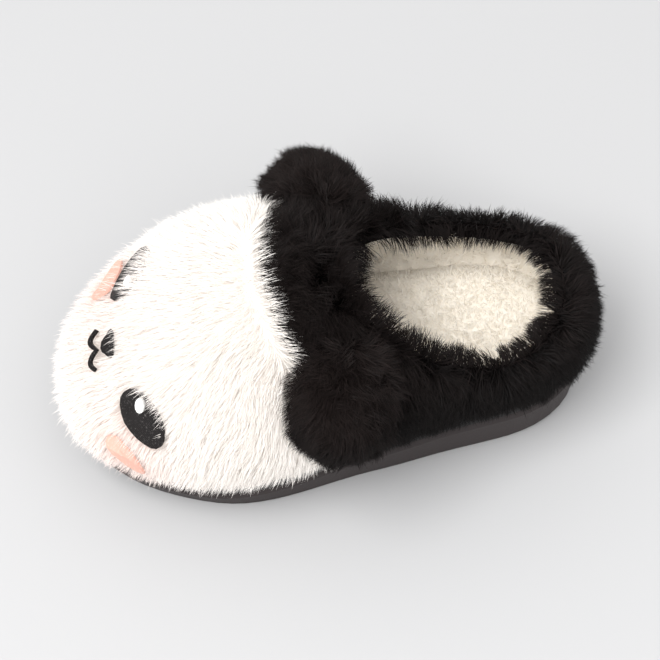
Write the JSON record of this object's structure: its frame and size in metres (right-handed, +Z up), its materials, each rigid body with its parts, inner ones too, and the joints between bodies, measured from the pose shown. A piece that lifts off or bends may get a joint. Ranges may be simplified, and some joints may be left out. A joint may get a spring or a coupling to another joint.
{
  "type": "animal slipper",
  "caption": "Plush mule slipper with a panda face: foam sole, covered platform band, fleece footbed and an open-backed fur upper with drooping ears.",
  "frame": {"origin": "on the ground under the middle of the shoe's bounding box", "axes": "+Z up, +Y towards the toe, +X towards the wearer's right, which is the inner side of this left shoe"},
  "size_m": [0.1368, 0.214, 0.0978],
  "materials": {
    "sole": "matt moulded foam",
    "band": "smooth woven cover",
    "fleece": "short cream fleece",
    "black_pile": "long black plush pile",
    "white_pile": "long warm white plush pile",
    "thread_black": "satin stitch embroidery",
    "thread_white": "satin stitch embroidery",
    "thread_salmon": "satin stitch embroidery"
  },
  "bodies": {
    "root": {"outsole": "sole", "midsole": "band", "insole": "fleece", "upper": "black_pile", "face_panel": "white_pile", "ear_outer": "black_pile", "ear_inner": "black_pile", "eye_outer": "thread_black", "eye_inner": "thread_black", "eye_glint_outer": "thread_white", "eye_glint_inner": "thread_white", "cheek_outer": "thread_salmon", "cheek_inner": "thread_salmon", "nose": "thread_black", "mouth": "thread_black"}
  },
  "joints": []
}
